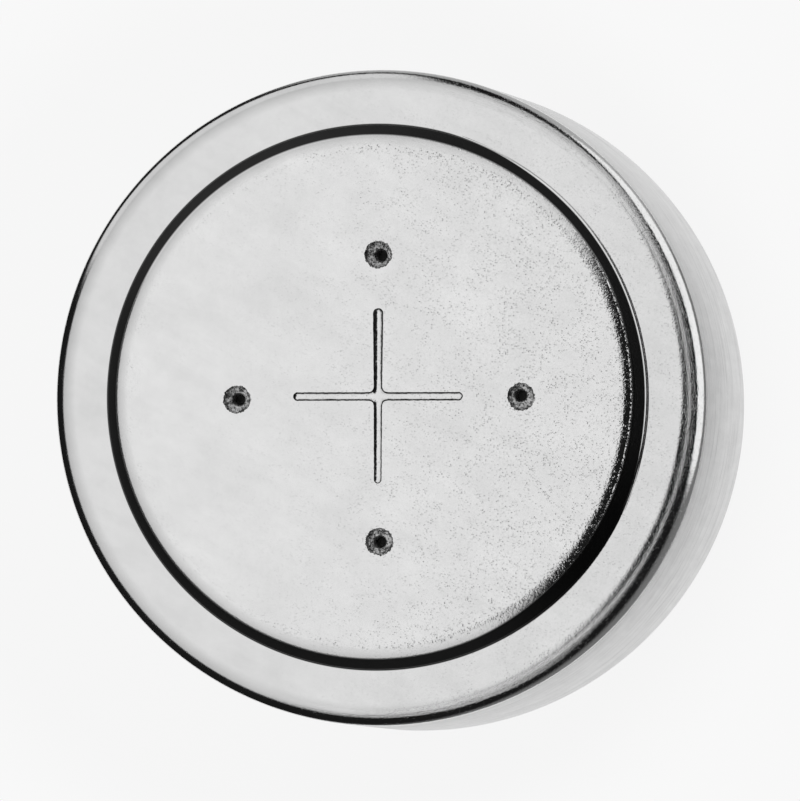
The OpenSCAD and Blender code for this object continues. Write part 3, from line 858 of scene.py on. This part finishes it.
# The light: a wide soft dome, a dark side to the right, and white cards low round the cell. Angles are in
# degrees: zenith is measured down from overhead, turn from +X towards +Y.
lightValues = {
    "white": 0.94, "dark": 0.012,
    "dome": {"tilt": 3, "turn": 60, "full": 20, "low": 92, "lowLevel": 0.62,
             "horizonFrom": 81, "horizonTo": 89},
    "darkSide": {"turn": 0, "side": -0.08, "edge": 0.095, "soft": 0.13,
                 "leanLeft": 0.8, "leanRight": 0.42},
    # the card and the side card end above at this slanted line
    "slant": {"zenith": 45, "turn": 120, "from": 82},
    "card": {"zenith": 106, "turn": 23, "radius": 38, "soft": 4, "top": 88, "bottom": 134, "level": 1.2},
    "farCard": {"zenith": 94, "turn": 124, "radius": 34, "soft": 4, "top": 80, "bottom": 113, "level": 0.85},
    "sideCard": {"zenith": 130, "turn": 76, "radius": 30, "soft": 5, "top": 100, "bottom": 158,
                 "level": 0.5},
    "underCard": {"zenith": 150, "turn": 0, "radius": 52, "soft": 12, "level": 0.21},
}


def pointing(zenith, turnAngle):
    zenith, turnAngle = math.radians(zenith), math.radians(turnAngle)
    return (math.sin(zenith) * math.cos(turnAngle), math.sin(zenith) * math.sin(turnAngle), math.cos(zenith))


def buildWorld(values):
    world = bpy.data.worlds.new("softLight")
    scene.world = world
    world.use_nodes = True
    tree = world.node_tree
    tree.nodes.clear()
    toward = vectorCalc(tree, "NORMALIZE", addNode(tree, "ShaderNodeTexCoord").outputs["Generated"])

    # the angle between the direction looked along and another one, in degrees
    def awayFrom(zenith, turnAngle):
        along = vectorCalc(tree, "DOT_PRODUCT", toward, pointing(zenith, turnAngle))
        return calc(tree, "DEGREES", calc(tree, "ARCCOSINE", calc(tree, "MINIMUM", along, 1.0)))

    down = awayFrom(0, 0)

    # a soft round patch, 1 inside and 0 outside
    def patch(spot):
        return fade(tree, awayFrom(spot["zenith"], spot["turn"]), spot["radius"] - spot["soft"],
                    spot["radius"] + spot["soft"], 1.0, 0.0)

    # a patch that is cut off above and below
    def sheet(spot):
        belowTop = fade(tree, down, spot["top"] - 1, spot["top"] + 1)
        aboveBottom = fade(tree, down, spot["bottom"] - 3, spot["bottom"] + 3, spot["level"], 0.0)
        return times(tree, patch(spot), times(tree, belowTop, aboveBottom))

    dome, side, under = values["dome"], values["darkSide"], values["underCard"]
    fromDome = awayFrom(dome["tilt"], dome["turn"])
    sky = times(tree, fade(tree, fromDome, dome["full"], dome["low"], 1.0, dome["lowLevel"], "LINEAR"),
                fade(tree, fromDome, dome["horizonFrom"], dome["horizonTo"], 1.0, 0.0))
    # the dark side is a blunt wedge that points overhead
    along = vectorCalc(tree, "DOT_PRODUCT", toward, pointing(90, side["turn"]))
    beside = vectorCalc(tree, "DOT_PRODUCT", toward, pointing(90, side["turn"] + 90))
    across = minus(tree, beside, side["side"])
    narrowing = calc(tree, "MAXIMUM", times(tree, across, side["leanLeft"]),
                     times(tree, across, -side["leanRight"]))
    lit = fade(tree, minus(tree, along, narrowing), side["edge"] - side["soft"],
               side["edge"] + side["soft"], 1.0, 0.0)
    grey = times(tree, patch(under), under["level"])
    slant = values["slant"]
    belowSlant = fade(tree, awayFrom(slant["zenith"], slant["turn"]), slant["from"] - 2, slant["from"] + 2)
    nearCards = times(tree, belowSlant, calc(
        tree, "MAXIMUM", sheet(values["card"]), sheet(values["sideCard"])))
    level = calc(tree, "MAXIMUM", calc(tree, "MAXIMUM", times(tree, sky, lit), grey),
                 calc(tree, "MAXIMUM", nearCards, sheet(values["farCard"])))
    light = useNode(tree, "ShaderNodeBackground", {
        "Color": (1, 1, 1, 1), "Strength": calc(tree, "MAXIMUM", level, values["dark"])})
    backdrop = useNode(tree, "ShaderNodeBackground", {
        "Color": (values["white"],) * 3 + (1,), "Strength": 1.0})
    path = addNode(tree, "ShaderNodeLightPath").outputs
    blend = useNode(tree, "ShaderNodeMixShader", {0: path["Is Camera Ray"]})
    fill(tree, blend.inputs[1], light.outputs[0])
    fill(tree, blend.inputs[2], backdrop.outputs[0])
    output = addNode(tree, "ShaderNodeOutputWorld")
    fill(tree, output.inputs["Surface"], blend.outputs[0])


buildWorld(lightValues)

# The camera looks down on the positive face, from a little to the right. Its image is 800 by 801 pixels.
viewValues = {
    "tilt": 8.486, "turn": 12.215, "distance": 0.24126, "pixelsPerMetre": 83236.0,
    "ringCentreX": 377.196, "ringCentreY": 397.063, "imageWidth": 800, "imageHeight": 801,
    "ringHeight": 0.00516,
}


def buildCamera(values):
    tilt, turned = math.radians(values["tilt"]), math.radians(values["turn"])
    back = Vector((math.sin(tilt) * math.cos(turned), -math.sin(tilt) * math.sin(turned), math.cos(tilt)))
    lean = Vector((math.cos(tilt) * math.cos(turned), -math.cos(tilt) * math.sin(turned), -math.sin(tilt)))
    side = Vector((-math.sin(turned), -math.cos(turned), 0.0))
    right = lean * math.cos(turned) + side * -math.sin(turned)
    down = lean * math.sin(turned) + side * math.cos(turned)
    offX = (values["ringCentreX"] - values["imageWidth"] / 2) / values["pixelsPerMetre"]
    offY = (values["ringCentreY"] - values["imageHeight"] / 2) / values["pixelsPerMetre"]
    place = Vector((0, 0, values["ringHeight"])) + back * values["distance"] - right * offX - down * offY
    data = bpy.data.cameras.new("camera")
    data.sensor_fit = "HORIZONTAL"
    data.sensor_width = 36.0
    data.lens = data.sensor_width * values["distance"] * values["pixelsPerMetre"] / values["imageWidth"]
    data.clip_start = 0.001
    data.clip_end = 10.0
    camera = bpy.data.objects.new("camera", data)
    scene.collection.objects.link(camera)
    turnMatrix = camera.matrix_world.to_3x3()
    for column, axis in enumerate((right, -down, back)):
        for row in range(3):
            turnMatrix[row][column] = axis[row]
    camera.matrix_world = turnMatrix.to_4x4()
    camera.location = place
    scene.camera = camera


buildCamera(viewValues)
print("stage, light and camera set")
